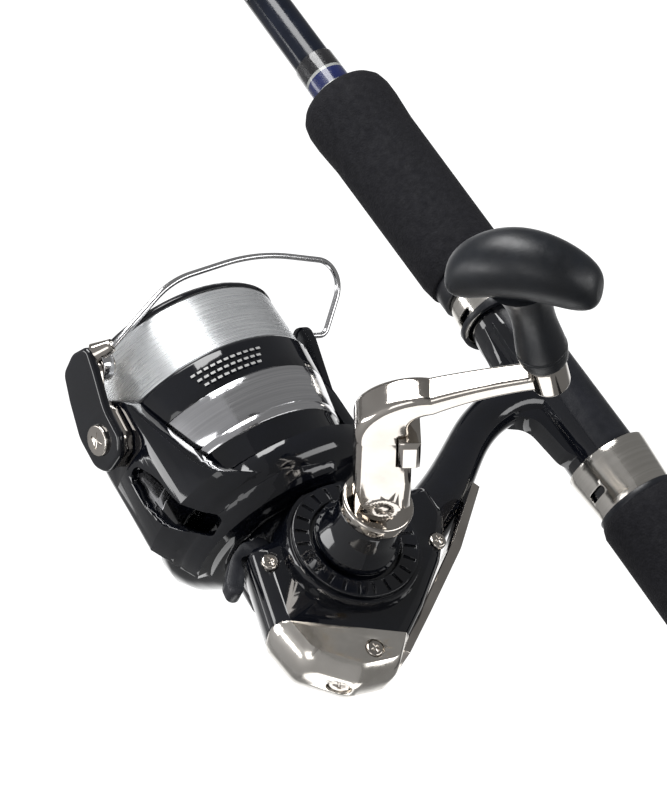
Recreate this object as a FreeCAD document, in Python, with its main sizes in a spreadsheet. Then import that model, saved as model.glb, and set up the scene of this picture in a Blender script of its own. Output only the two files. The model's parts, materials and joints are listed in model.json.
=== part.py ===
"""Spinning rod and reel: a telescopic rod, closed, with a fixed-spool reel clamped in its seat.

Frame: millimetres, origin at the centre of the butt end, +X along the rod to the tip,
+Z from the reel up to the rod, +Y to the handle's side.
"""

import FreeCAD
import Part

import math
import os
import re
from types import SimpleNamespace

import Sketcher

Vector = FreeCAD.Vector

DIMENSIONS = {
    # rod: blank, grips and reel seat, as distances from the butt end and radii
    "seat_start": 165.0,
    "blank_radius": 5.1,
    "blank_wall": 0.75,
    "blank_front": 560.0,
    "cap_length": 16.0,
    "cap_radius": 12.0,
    "grip_radius": 11.3,
    "hood_length": 12.5,
    "hood_mouth_radius": 10.2,
    "hood_back_radius": 9.2,
    "hood_wall": 0.8,
    "ring_width": 1.5,
    "seat_radius": 8.2,
    "seat_flat": 6.2,
    "seat_length": 72.0,
    "moving_mouth": 44.6,
    "moving_back": 53.3,
    "lip_front": 46.5,
    "lip_back": 40.9,
    "collar_back": 53.5,
    "foregrip_back": 58.7,
    "foregrip_front": 120.5,
    "foregrip_radius": 11.7,
    "wrap_length": 13.0,
    "wrap_radius": 5.6,
    "section_gap": 0.35,
    "section_step": 12.0,
    # reel foot and where the reel hangs
    "foot_back": -9.0,
    "foot_front": 49.0,
    "foot_radius": 9.2,
    "reel_drop": 84.1,
    # gear case, in the reel's own frame with the spool shaft along X
    "case_front": 4.6,
    "case_far": -10.5,
    "case_near": 11.5,
    "case_wall": 1.8,
    "cover_face": 16.4,
    "nose_radius": 15.0,
    "nose_front": 11.0,
    "boss_height": 19.6,
    "boss_radius": 14.2,
    "ring_height": 20.5,
    "ring_outer": 13.3,
    "ring_inner": 9.6,
    "clutch_radius": 11.0,
    "clutch_front": 17.0,
    "lever_near_side": 7.2,
    "lever_far_side": 10.6,
    # crank, gears and shafts
    "crank_back": -4.2,
    "crank_shaft": 3.0,
    "bearing_radius": 6.0,
    "gear_inner": 11.1,
    "gear_outer": 13.4,
    "tooth_top": 2.3,
    "tooth_floor": 3.5,
    "gear_back": 5.6,
    "pinion_outer": 3.1,
    "pinion_root": 2.15,
    "pinion_journal": 3.0,
    "shaft_radius": 1.5,
    "shaft_clearance": 0.06,
    "worm_radius": 1.8,
    "worm_outer": 4.65,
    "worm_root": 3.7,
    "worm_side": -4.8,
    "worm_down": -4.85,
    # rotor
    "rotor_back": 9.9,
    "rotor_floor": 14.2,
    "rotor_rim": 19.4,
    "rotor_inner": 24.3,
    "hub_inner": 15.7,
    "hub_outer": 17.2,
    "hub_front": 20.0,
    "arm_inner": 25.4,
    "arm_outer": 28.4,
    "arm_flat": 27.3,
    "pivot_front": 42.7,
    # spool
    "spool_back": 20.8,
    "spool_ring_front": 26.8,
    "band_back": 37.1,
    "band_front": 44.5,
    "lip_start": 59.4,
    "spool_front": 61.1,
    "band_radius": 25.0,
    "line_radius": 24.2,
    "spool_lip": 24.5,
    "skirt_top": 24.1,
    "skirt_bottom": 22.1,
    "ring_bottom": 21.6,
    "arbor_radius": 16.5,
    "arbor_inner": 13.0,
    # bail
    "wire_radius": 0.7,
    "lever_inner": 27.6,
    "lever_outer": 29.9,
    "cover_outer": 31.4,
    "roller_ahead": 12.8,
    "roller_side": 8.2,
    "roller_radius": 3.3,
    # handle, in its own frame: z up the column, x along the arm
    "hinge_height": 35.7,
    "hinge_rise": 3.0,
    "column_length": 29.7,
    "arm_length": 30.2,
    "knob_rise": 30.6,
    "knob_length": 26.5,
}
ARM_AZIMUTH = 121.8
COLUMN_TILT = 17.8
ARM_SLOPE = 14.5
KNOB_TURN = -21.0
ROTOR_TURN = 12.0
BAIL_LEAN = 45.0
GEAR_TEETH = 47
PINION_TEETH = 10
WORM_TEETH = 16

doc = FreeCAD.newDocument("rod_and_reel")
dims = doc.addObject("Spreadsheet::Sheet", "dims")
for row, (name, amount) in enumerate(DIMENSIONS.items(), start=1):
    dims.set(f"A{row}", name)
    dims.set(f"B{row}", str(amount))
    dims.setAlias(f"B{row}", name)
doc.recompute()
d = SimpleNamespace(**{name: float(dims.get(name)) for name in DIMENSIONS})

# ---------------------------------------------------------------- places
ROD = FreeCAD.Placement()
REEL = FreeCAD.Placement(Vector(d.seat_start, 0, -d.reel_drop), FreeCAD.Rotation())
CRANK = REEL * FreeCAD.Placement(Vector(d.crank_back, 0, 0), FreeCAD.Rotation())
ROTOR = REEL * FreeCAD.Placement(Vector(), FreeCAD.Rotation(Vector(1, 0, 0), ROTOR_TURN))
PIVOT = ROTOR * FreeCAD.Placement(Vector(d.pivot_front, 0, 0), FreeCAD.Rotation())


def handle_place():
    """The folding handle's frame: x along the arm, z up the column, y along the hinge."""
    turn = FreeCAD.Rotation(Vector(0, 1, 0), -ARM_AZIMUTH)
    stand = FreeCAD.Rotation(Vector(1, 0, 0), -90)
    lean = FreeCAD.Rotation(Vector(0, 1, 0), -COLUMN_TILT)
    hinge = FreeCAD.Placement(Vector(0, d.hinge_height, 0), turn * stand * lean)
    return CRANK * hinge


HANDLE = handle_place()
ARM_END = Vector(
    d.arm_length * math.cos(math.radians(ARM_SLOPE)),
    0,
    d.column_length + d.arm_length * math.sin(math.radians(ARM_SLOPE)),
)
KNOB = HANDLE * FreeCAD.Placement(ARM_END, FreeCAD.Rotation(Vector(0, 1, 0), -ARM_SLOPE))
BAIL = PIVOT * FreeCAD.Placement(Vector(), FreeCAD.Rotation(Vector(0, 0, 1), BAIL_LEAN))
NODES = []


# ---------------------------------------------------------------- builders
def bound(expression):
    """The expression with each dimension's name pointed at its cell of the sheet."""
    return re.sub(r"[a-z][a-z_]+[a-z]", r"dims.\g<0>", str(expression))


def keep(piece, label, place):
    """Makes an object one of the assembly's sub-parts."""
    piece.Label = label
    piece.Placement = place
    NODES.append(piece)
    return piece


def new_body(label, place):
    body = doc.addObject("PartDesign::Body", label)
    return keep(body, label, place)


def plane_of(body, role):
    return next(plane for plane in body.Origin.OriginFeatures if plane.Role == role)


def outline_sketch(body, role, outline):
    """A closed outline on one of the body's planes; each corner is a pair of expressions."""
    sketch = body.newObject("Sketcher::SketchObject", "outline")
    sketch.AttachmentSupport = [(plane_of(body, role), "")]
    sketch.MapMode = "FlatFace"
    corners = [tuple(bound(value) for value in corner) for corner in outline]
    points = [Vector(*[float(dims.evalExpression(value)) for value in corner], 0) for corner in corners]
    for index, point in enumerate(points):
        sketch.addGeometry(Part.LineSegment(point, points[(index + 1) % len(points)]), False)
    for index in range(len(points)):
        sketch.addConstraint(Sketcher.Constraint("Coincident", index, 2, (index + 1) % len(points), 1))
    for index, (corner, point) in enumerate(zip(corners, points)):
        for kind, value, expression in zip(("DistanceX", "DistanceY"), (point.x, point.y), corner):
            number = sketch.addConstraint(Sketcher.Constraint(kind, -1, 1, index, 1, value))
            sketch.setExpression(f"Constraints[{number}]", expression)
    return sketch


def turned(label, place, outline, about="X"):
    """A piece turned on a lathe: its half section, as (along the axis, radius), about X, Y or Z."""
    role, axis = {"X": ("XZ_Plane", "H_Axis"), "Y": ("XY_Plane", "V_Axis"),
                  "Z": ("XZ_Plane", "V_Axis")}[about]
    corners = outline if about == "X" else [(radius, along) for along, radius in outline]
    body = new_body(label, place)
    revolution = body.newObject("PartDesign::Revolution", "turning")
    revolution.Profile = outline_sketch(body, role, corners)
    revolution.ReferenceAxis = (revolution.Profile[0], [axis])
    revolution.Angle = 360
    return body


def sleeve(label, place, start, end, inner, outer, about="X"):
    """A plain tube from start to end along its axis."""
    return turned(label, place, [(start, inner), (end, inner), (end, outer), (start, outer)], about)


def shape_node(label, place, shape):
    """A sub-part whose free form is made with Part's own functions."""
    feature = doc.addObject("Part::Feature", label)
    feature.Shape = shape.removeSplitter()
    return keep(feature, label, place)


def rod_solid(start, end, radius):
    """A round bar between two points."""
    run = end - start
    return Part.makeCylinder(radius, run.Length, start, run)


def cone_solid(start, end, radius_start, radius_end):
    run = end - start
    return Part.makeCone(radius_start, radius_end, run.Length, start, run)


def tube_solid(start, end, inner, outer):
    return rod_solid(start, end, outer).cut(rod_solid(start, end, inner))


def rounded_wire(points, radii, closed=True):
    """Straight runs joined by tangent arcs, one radius for each corner."""
    count = len(points)
    edges = []
    joints = []
    for index, (corner, radius) in enumerate(zip(points, radii)):
        if radius == 0 or (not closed and index in (0, count - 1)):
            joints.append((corner, None, corner))
            continue
        back = (points[index - 1] - corner).normalize()
        ahead = (points[(index + 1) % count] - corner).normalize()
        half = back.getAngle(ahead) / 2
        reach = radius / math.tan(half)
        bisector = (back + ahead).normalize()
        centre = corner + bisector * (radius / math.sin(half))
        joints.append((corner + back * reach, centre - bisector * radius, corner + ahead * reach))
    for index in range(count if closed else count - 1):
        entry, middle, leaving = joints[index]
        if middle is not None:
            edges.append(Part.Arc(entry, middle, leaving).toShape())
        following = joints[(index + 1) % count][0]
        if (following - leaving).Length > 1e-6:
            edges.append(Part.LineSegment(leaving, following).toShape())
    return Part.Wire(edges)


def slab(outline, radii, start, thickness):
    """An outline in the XZ plane, thickened along +Y from start."""
    wire = rounded_wire([Vector(x, start, z) for x, z in outline], radii)
    return Part.Face(wire).extrude(Vector(0, thickness, 0))


def plate(outline, radii, start, thickness):
    """An outline in the XY plane, thickened along +Z from start."""
    wire = rounded_wire([Vector(x, y, start) for x, y in outline], radii)
    return Part.Face(wire).extrude(Vector(0, 0, thickness))


def loft(rings):
    return Part.makeLoft(rings, True, False)


def ellipse_ring(centre, along, across, normal, direction):
    """An ellipse with its half size along direction and its half size across it."""
    major, minor = max(along, across), min(along, across)
    side = normal.cross(direction)
    long_way, short_way = (direction, side) if along >= across else (side, direction)
    curve = Part.Ellipse(centre + long_way * major, centre + short_way * minor, centre)
    return Part.Wire([curve.toShape()])


# ---------------------------------------------------------------- rod
def build_rod():
    cap_bore = "blank_radius + 0.05"
    turned("butt_cap", ROD, [
        ("1.2", "0"), ("cap_length", "0"), ("cap_length", "cap_radius - 1"),
        ("cap_length - 2", "cap_radius"), ("0", "cap_radius"), ("0", "cap_radius - 3"),
        ("1.2", "cap_radius - 4.2"),
    ])
    sleeve("blank_butt", ROD, "cap_length + 0.2", "blank_front", "blank_radius - blank_wall",
           "blank_radius")
    turned("rear_grip", ROD, [
        ("cap_length", cap_bore), ("seat_start - hood_length - ring_width", cap_bore),
        ("seat_start - hood_length - ring_width", "hood_back_radius + 1.2"),
        ("seat_start - hood_length - ring_width - 2", "grip_radius - 0.2"),
        ("seat_start - 60", "grip_radius"), ("cap_length + 40", "grip_radius - 1"),
        ("cap_length + 14", "grip_radius + 0.4"), ("cap_length", "cap_radius - 1"),
    ])
    sleeve("seat_ring", ROD, "seat_start - hood_length - ring_width", "seat_start - hood_length",
           "seat_radius + 0.05", "hood_back_radius + 0.9")
    build_seat()
    build_hoods()
    build_foregrip()
    sleeve("trim_wrap", ROD, "seat_start + foregrip_front + 0.5",
           "seat_start + foregrip_front + wrap_length",
           "blank_radius + 0.02", "wrap_radius")
    build_sections()


def build_seat():
    """The seat's tube, flattened underneath where the reel's foot lies."""
    start = d.seat_start - d.hood_length - d.ring_width
    end = d.seat_start + d.foregrip_back + 40
    tube = tube_solid(Vector(start, 0, 0), Vector(end, 0, 0), d.blank_radius + 0.05, d.seat_radius)
    under = Part.makeBox(d.seat_length, 40, 10, Vector(d.seat_start + d.foot_back - 1.5, -20, -d.seat_flat
                                                       - 10))
    shape_node("seat_body", ROD, tube.cut(under))


def build_hoods():
    """Two steel hoods, cones with a slot through each side; the front one slides on the seat."""
    def hood(mouth, back, slot_at, slot_turn):
        outer = cone_solid(Vector(mouth, 0, 0), Vector(back, 0, 0), d.hood_mouth_radius, d.hood_back_radius)
        inner = cone_solid(Vector(mouth, 0, 0), Vector(back, 0, 0), d.hood_mouth_radius - d.hood_wall,
                           d.hood_back_radius - d.hood_wall + 0.05)
        slot = slab([(-1.0, -2.8), (1.0, -2.8), (1.0, 2.8), (-1.0, 2.8)], [0.95] * 4, 0, 20)
        slot.rotate(Vector(), Vector(1, 0, 0), slot_turn)
        slot.translate(Vector(slot_at, 0, 0))
        return outer.cut(inner).cut(slot)

    start = d.seat_start
    shape_node("fixed_hood", ROD, hood(start, start - d.hood_length, start - 7.5, -85.0))
    shape_node("moving_hood", ROD, hood(start + d.moving_mouth, start + d.moving_back, start + 47.6, -90.0))
    lean = math.degrees(math.atan2(d.lip_front - d.lip_back, 2 * d.hood_mouth_radius))
    outer = rod_solid(Vector(start + d.lip_back - 4, 0, 0), Vector(start + d.moving_mouth + 1.6, 0, 0),
                      d.hood_mouth_radius + 0.5)
    inner = rod_solid(Vector(start, 0, 0), Vector(start + d.moving_back, 0, 0), d.hood_mouth_radius + 0.02)
    bore = rod_solid(Vector(start, 0, 0), Vector(start + d.moving_mouth, 0, 0), d.foot_radius + 0.3)
    rear = rod_solid(Vector(start + d.moving_mouth, 0, 0), Vector(start + d.moving_back, 0, 0),
                     d.hood_mouth_radius + 0.02)
    mouth = Part.makeBox(30, 60, 60, Vector(-30, -30, -30))
    mouth.rotate(Vector(), Vector(0, 1, 0), -lean)
    mouth.translate(Vector(start + (d.lip_front + d.lip_back) / 2 - 1.5, 0, 0))
    shape_node("hood_lip", ROD, outer.cut(bore).cut(rear).cut(mouth))


def build_foregrip():
    front = "seat_start + foregrip_front"
    back = "seat_start + foregrip_back"
    sleeve("grip_collar", ROD, "seat_start + collar_back", back, "seat_radius + 0.1",
           "foregrip_radius - 1.6")
    turned("foregrip", ROD, [
        (back, "seat_radius + 0.1"), (f"{back} + 41", "seat_radius + 0.1"),
        (f"{back} + 41", "wrap_radius + 0.5"),
        (front, "wrap_radius + 0.5"), (front, "foregrip_radius - 2.6"),
        (f"{front} - 0.8", "foregrip_radius - 0.9"),
        (f"{front} - 2.4", "foregrip_radius + 0.2"), (f"{front} - 5", "foregrip_radius + 0.7"),
        (f"{front} - 9", "foregrip_radius + 0.7"), (f"{front} - 17", "foregrip_radius + 0.1"),
        (f"{back} + 4", "foregrip_radius - 0.3"), (back, "foregrip_radius - 0.9"),
    ])


def guide(at, ferrule, ring_radius, wire):
    """A line guide under the blank: a tube on the blank, two legs and a ring."""
    sleeve_end = at + 9.0
    centre = Vector(at + 4.5, 0, -(ferrule + 2.0 + ring_radius))
    tube = tube_solid(Vector(at, 0, 0), Vector(sleeve_end, 0, 0), ferrule, ferrule + 0.6)
    ring = Part.makeTorus(ring_radius, wire * 1.3, centre, Vector(1, 0, 0))
    legs = []
    for side in (-1, 1):
        foot = Vector(at + 4.5, side * ferrule * 0.55, -ferrule * 0.83 - 0.25)
        eye = centre + Vector(0, side * ring_radius * 0.75, ring_radius * 0.66)
        legs.append(rod_solid(foot, eye, wire * 0.8))
    return tube.fuse([ring] + legs)


def build_sections():
    """Three more sections, each in the one before; a guide at the front end of each."""
    fit = 0.02
    outer = d.blank_radius
    front = d.blank_front
    shape_node("guide_one", ROD, guide(front - 14, outer + fit, 9.0, 0.9))
    keeper_at = d.seat_start + d.foregrip_front + d.wrap_length + 26
    foot = rod_solid(Vector(keeper_at, 0, -outer - 0.35), Vector(keeper_at + 9, 0, -outer - 0.35), 0.45)
    loop = Part.makeTorus(2.0, 0.4, Vector(keeper_at + 4.5, 0, -outer - 1.6), Vector(0, 1, 0))
    shape_node("hook_keeper", ROD, foot.fuse(loop).cut(rod_solid(Vector(), Vector(front, 0, 0),
                                                                 outer + fit)))
    names = ("section_two", "section_three", "section_four")
    for number, name in enumerate(names, start=1):
        outer = outer - d.blank_wall - d.section_gap
        end = d.blank_front + number * d.section_step
        solid_tip = number == len(names)
        bar = rod_solid(Vector(22, 0, 0), Vector(end + 1, 0, 0), outer)
        if not solid_tip:
            bar = bar.cut(rod_solid(Vector(22, 0, 0), Vector(end + 1, 0, 0), outer - d.blank_wall))
        shape_node(name, ROD, bar)
        ring = 7.0 - 1.6 * number
        place = end - 9.6
        label = "tip_top" if solid_tip else f"guide_{('two', 'three')[number - 1]}"
        shape_node(label, ROD, guide(place, outer + fit, ring, 0.75 if not solid_tip else 0.6))


# ---------------------------------------------------------------- reel case
CASE = [(4.6, -18.5), (4.6, 26.0), (-4.5, 26.0), (-13.0, 18.5), (-20.5, 9.0), (-26.5, 0.0),
        (-31.0, -5.0), (-29.5, -13.0), (-22.0, -21.5), (-13.0, -23.0)]
CASE_ROUND = [2, 3, 6, 8, 10, 4, 3, 4, 5, 8]
CAP_CUT = (Vector(-11.5, 0, -24.0), Vector(-25.5, 0, 1.5))


CASE_CENTRE = (-2.0, 8.0)
CASE_STEPS = [(11.5, 1.0), (7.5, 0.985), (4.0, 0.945), (0.0, 0.87), (-6.0, 0.74), (-10.5, 0.54)]


def case_ring(y, scale):
    """The case's side outline drawn in towards a centre near the stem's root."""
    x0, z0 = CASE_CENTRE
    points = [Vector(x0 + (x - x0) * scale, y, z0 + (z - z0) * scale) for x, z in CASE]
    return rounded_wire(points, [radius * scale for radius in CASE_ROUND])


def case_solid(steps):
    """The case's body, lofted through its outlines from the handle side to the far side."""
    rings = [case_ring(y, scale) for y, scale in steps]
    return Part.makeLoft(rings, True, True)


def case_hollow(wall):
    """The space inside the case, a wall's thickness in from the outside."""
    steps = [(y, scale - wall / 25.0) for y, scale in CASE_STEPS[:-1]]
    steps[0] = (CASE_STEPS[0][0] + 1.0, steps[0][1])
    return case_solid(steps + [(-9.0, 0.66 - wall / 25.0)])


def rear_half(start, thickness, shift=0.0):
    """The space behind the slanted line where the rear cap meets the case."""
    low, high = CAP_CUT
    run = (high - low).normalize()
    back = Vector(run.z, 0, -run.x)
    if back.x > 0:
        back = back * -1
    corners = [low - run * 40 + back * shift, high + run * 40 + back * shift,
               high + run * 40 + back * 60, low - run * 40 + back * 60]
    wire = Part.makePolygon([Vector(p.x, start, p.z) for p in corners]
                            + [Vector(corners[0].x, start, corners[0].z)])
    return Part.Face(wire).extrude(Vector(0, thickness, 0))


def build_case():
    shell = case_solid(CASE_STEPS)
    cavity = case_hollow(d.case_wall)
    nose = rod_solid(Vector(d.case_front - 4, 0, 0), Vector(d.nose_front, 0, 0), d.nose_radius)
    nose_cavity = rod_solid(Vector(d.case_front - 4.5, 0, 0), Vector(d.nose_front - 1.0, 0, 0),
                            d.nose_radius - 1.2)
    mouth = rod_solid(Vector(0, 0, 0), Vector(40, 0, 0), d.pinion_journal + 2.52)
    worm = Vector(0, d.worm_side, d.worm_down)
    post = Part.makeBox(3.0, 12.0, 9.5, Vector(-3.0, d.case_far + 0.5, -7.8))
    post = post.cut(rod_solid(Vector(-5, 0, 0), Vector(5, 0, 0), 3.22))
    rear_post = Part.makeBox(2.0, 11.8, 11.0, Vector(-21.4, d.case_far + 0.5, -8.0))
    rear_post = rear_post.cut(rod_solid(Vector(-30, 0, 0), Vector(), d.shaft_radius + 0.5))
    posts = post.fuse(rear_post).common(shell)
    posts = posts.cut(rod_solid(worm + Vector(-30, 0, 0), worm + Vector(30, 0, 0), d.worm_radius + 0.05))
    below_stem = Part.makeBox(80, 80, 54, Vector(-50, -40, -38))
    case = shell.fuse([nose, build_stem()]).cut(cavity.common(below_stem)).cut(nose_cavity).fuse(posts)
    crank_bore = rod_solid(Vector(d.crank_back, 6.2, 0), Vector(d.crank_back, 40, 0), d.bearing_radius)
    case = case.cut(mouth).cut(rear_half(-40, 80)).cut(rotor_room(15.2, 11.01)).cut(crank_bore)
    for at in screw_places():
        case = case.cut(rod_solid(at + Vector(0, -3, 0), at + Vector(0, -30, 0), 0.6))
    hub = lever_hub(0.3)
    slot = Part.makeBox(4.0, d.lever_far_side - d.lever_near_side + 0.6, 8,
                        Vector(4.7, d.lever_near_side - 0.3, -21.0))
    worm_bore = rod_solid(worm + Vector(-21.3, 0, 0), worm + Vector(0, 0, 0), d.worm_radius + 0.05)
    return case.cut([hub, slot, worm_bore])


def lever_hub(gap):
    """The anti-reverse lever's hub, or the room for it."""
    low, high = d.lever_near_side - gap, d.lever_far_side + gap
    return rod_solid(Vector(6.0, low, -13.8), Vector(6.0, high, -13.8), 2.0 + gap)


def rotor_room(inner, front):
    """The space the turning rotor needs: outside a radius behind it, and everything from its floor on."""
    outside = tube_solid(Vector(d.rotor_back - 0.8, 0, 0), Vector(60, 0, 0), inner, 29.5)
    return outside.fuse(rod_solid(Vector(front, 0, 0), Vector(60, 0, 0), 29.5))


def stem_ring(x, z, half_long, half_wide, lean):
    """One cross-section of the stem, square to its leaning centreline."""
    normal = Vector(math.sin(math.radians(lean)), 0, math.cos(math.radians(lean)))
    return ellipse_ring(Vector(x, 0, z), half_long, half_wide, normal, Vector(normal.z, 0, -normal.x))


def build_stem():
    """The leg from the case up to the foot, in the reel's frame."""
    up = d.reel_drop
    rings = [stem_ring(-1.6, 19.0, 7.0, 6.6, 18), stem_ring(2.2, 30.0, 6.4, 5.8, 22),
             stem_ring(8.6, up - 42.0, 5.4, 5.0, 32), stem_ring(15.4, up - 32.0, 4.8, 4.6, 34),
             stem_ring(20.6, up - 21.5, 4.9, 4.6, 20), stem_ring(22.4, up - 12.0, 6.0, 5.0, 5),
             stem_ring(22.8, up - 7.8, 8.0, 5.2, 0)]
    stem = loft(rings)
    reach = 10.0
    thin = d.foot_radius - 0.9
    start, end = Vector(d.foot_back, 0, up), Vector(d.foot_front, 0, up)
    bar = rod_solid(start + Vector(reach, 0, 0), end - Vector(reach, 0, 0), d.foot_radius)
    bar = bar.fuse([cone_solid(start, start + Vector(reach, 0, 0), thin, d.foot_radius),
                    cone_solid(end - Vector(reach, 0, 0), end, d.foot_radius, thin)])
    keep_under = Part.makeBox(80, 13.4, 8, Vector(-20, -6.7, up - d.seat_flat - 0.05 - 8))
    foot = bar.common(keep_under)
    gusset = slab([(1.5, up - 8.2), (44.0, up - 8.2), (29.0, up - 11.0), (26.0, up - 17.0),
                   (19.0, up - 21.0),
                   (15.0, up - 12.2), (4.0, up - 10.6)], [0, 0, 6, 4, 0, 5, 4], -2.6, 5.2)
    under = Part.makeBox(80, 40, 60, Vector(-20, -20, up - d.seat_flat - 0.05 - 60))
    return stem.fuse([foot, gusset]).common(under)


def screw_places():
    return [Vector(-0.5, d.cover_face - 0.6, -17.4), Vector(-25.4, d.cover_face - 0.6, -7.8),
            Vector(-9.5, d.cover_face - 0.6, 19.2)]


def build_cover(case):
    """The handle-side cover: a domed shell with a round boss for the crank."""
    rings = []
    for inset, y in ((0.0, d.case_near), (0.15, d.case_near + 2.4), (1.1, d.cover_face - 1.0),
                     (2.6, d.cover_face)):
        wire = rounded_wire([Vector(x, y, z) for x, z in CASE], CASE_ROUND)
        rings.append(wire.makeOffset2D(-inset) if inset else wire)
    slabs = []
    for low, high in zip(rings, rings[1:]):
        slabs.append(Part.makeLoft([low, high], True, True))
    cover = slabs[0].fuse(slabs[1:])
    boss = cone_solid(Vector(d.crank_back, d.case_near, 0), Vector(d.crank_back, d.boss_height, 0),
                      d.boss_radius + 1.2, d.boss_radius)
    hollow = case_solid([(d.case_near - 1, 0.925), (d.cover_face - 1.8, 0.9)])
    bore_low = Vector(d.crank_back, 0, 0)
    cover = cover.cut(hollow).fuse(boss)
    cover = cover.cut(rod_solid(bore_low, bore_low + Vector(0, 40, 0), d.bearing_radius))
    seat = tube_solid(bore_low + Vector(0, d.boss_height - 0.8, 0),
                      bore_low + Vector(0, d.boss_height + 1, 0),
                      d.ring_inner - 0.05, d.ring_outer + 0.05)
    cover = cover.cut(seat).cut(rear_half(-40, 80))
    cover = cover.cut(rotor_room(22.3, 9.2))
    for at in screw_places():
        cover = cover.cut(rod_solid(at + Vector(0, -20, 0), at + Vector(0, 5, 0), 0.7))
        cover = cover.cut(rod_solid(at, at + Vector(0, 5, 0), 2.0))
    return cover.cut(case)


def build_cap():
    """The polished cap over the rear corner of the case."""
    outer = [(d.cover_face + 0.3, 0.93), (d.cover_face - 0.8, 0.98), (d.case_near + 2.0, 1.012)]
    outer += [(y, scale + 0.012) for y, scale in CASE_STEPS]
    cap = case_solid(outer).cut(case_hollow(d.case_wall + 0.2))
    cap = cap.cut(case_solid([(d.case_near - 1, 0.925), (d.cover_face - 1.6, 0.9)]))
    cap = cap.common(rear_half(-40, 80, 0.15))
    at = screw_places()[1]
    cap = cap.cut(rod_solid(at, at + Vector(0, 5, 0), 2.0))
    cap = cap.cut(rod_solid(at + Vector(0, -20, 0), at + Vector(0, 5, 0), 0.7))
    tail = cap_screw_place()
    cap = cap.cut(rod_solid(tail, tail - CAP_SCREW_OUT * 8, 0.9))
    return cap.cut(rod_solid(tail, tail + CAP_SCREW_OUT * 8, 2.6))


CAP_SCREW_OUT = Vector(-0.75, 0, -0.66)


def cap_screw_place():
    return Vector(-26.4, 9.6, -14.3)


def screw_head(at, out, radius, height):
    """A round-headed screw with a cross recess, its head's underside at the given point."""
    head = rod_solid(at, at + out * height, radius)
    head = head.makeFillet(height * 0.45, [edge for edge in head.Edges if edge.Closed
                                           and (edge.CenterOfMass - at).dot(out) > height * 0.9])
    shank = rod_solid(at - out * 5.0, at, 0.55)
    side = out.cross(Vector(0.1, 0.2, 0.95)).normalize()
    other = out.cross(side)
    for way in (side, other):
        run = rod_solid(at + out * (height * 1.02) - way * radius * 0.55,
                        at + out * (height * 1.02) + way * radius * 0.55,
                        0.32)
        head = head.cut(run)
    return head.fuse(shank)


def build_reel():
    case = build_case()
    shape_node("reel_body", REEL, case)
    shape_node("side_cover", REEL, build_cover(case))
    shape_node("rear_cap", REEL, build_cap())
    teeth = tube_solid(Vector(0, d.boss_height - 0.8, 0), Vector(0, d.ring_height, 0), d.ring_inner,
                       d.ring_outer)
    for number in range(24):
        groove = Part.makeBox(2.6, 2, 0.8, Vector(d.ring_inner + 0.5, d.ring_height - 0.5, -0.4))
        groove.rotate(Vector(), Vector(0, 1, 0), number * 15.0)
        teeth = teeth.cut(groove)
    shape_node("boss_ring", CRANK, teeth)
    strip = slab([(0.6, 40.4), (-10.9, 27.0), (-21.2, 11.6), (-27.4, 2.0), (-26.0, 1.0), (-19.4, 10.6),
                  (-9.0, 25.9), (2.2, 39.6)], [0, 12, 20, 0, 0, 20, 12, 0], 3.0, 8.0)
    strip = strip.cut(case_solid([(15, 1.01), (-12, 1.01)])).cut(build_stem())
    shape_node("back_strip", REEL, strip)
    screws = [screw_head(at, Vector(0, 1, 0), 1.8, 1.1) for at in screw_places()]
    screws.append(screw_head(cap_screw_place(), CAP_SCREW_OUT, 2.3, 1.0))
    shape_node("case_screws", REEL, Part.makeCompound(screws))
    sleeve("crank_bearing", CRANK, "case_near + 0.2", "boss_height - 0.8", "crank_shaft + 0.05",
           "bearing_radius - 0.02", "Y")
    sleeve("pinion_bearing", REEL, "nose_front - 1.0", "nose_front", "pinion_journal + 0.05",
           "pinion_journal + 2.5")
    sleeve("pinion_bush", REEL, "-3.0", "0", "pinion_root + 0.1", "3.2")
    sleeve("one_way_clutch", REEL, "nose_front", "clutch_front", "pinion_journal + 0.05", "clutch_radius")
    paddle = slab([(5.0, -13.6), (7.6, -13.6), (8.0, -17.2), (6.0, -20.8), (1.4, -24.8), (-1.6, -25.2),
                   (-2.4, -23.0),
                   (1.6, -20.2), (5.0, -19.4)], [0, 0, 3, 5, 2, 1.4, 1.4, 5, 1.2], d.lever_near_side,
                  d.lever_far_side - d.lever_near_side)
    shape_node("anti_reverse_lever", REEL, lever_hub(0).fuse(paddle))


# ---------------------------------------------------------------- gears and shafts
def spur_teeth(count, root, outer, thickness_root, thickness_tip, length):
    """Straight teeth round the X axis, from x = 0 to length, with the first on +Y."""
    teeth = []
    for number in range(count):
        low, high = thickness_root / 2, thickness_tip / 2
        corners = [Vector(0, root - 0.3, -low), Vector(0, outer, -high), Vector(0, outer, high),
                   Vector(0, root - 0.3, low), Vector(0, root - 0.3, -low)]
        tooth = Part.Face(Part.makePolygon(corners)).extrude(Vector(length, 0, 0))
        tooth.rotate(Vector(), Vector(1, 0, 0), number * 360.0 / count)
        teeth.append(tooth)
    return teeth


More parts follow.
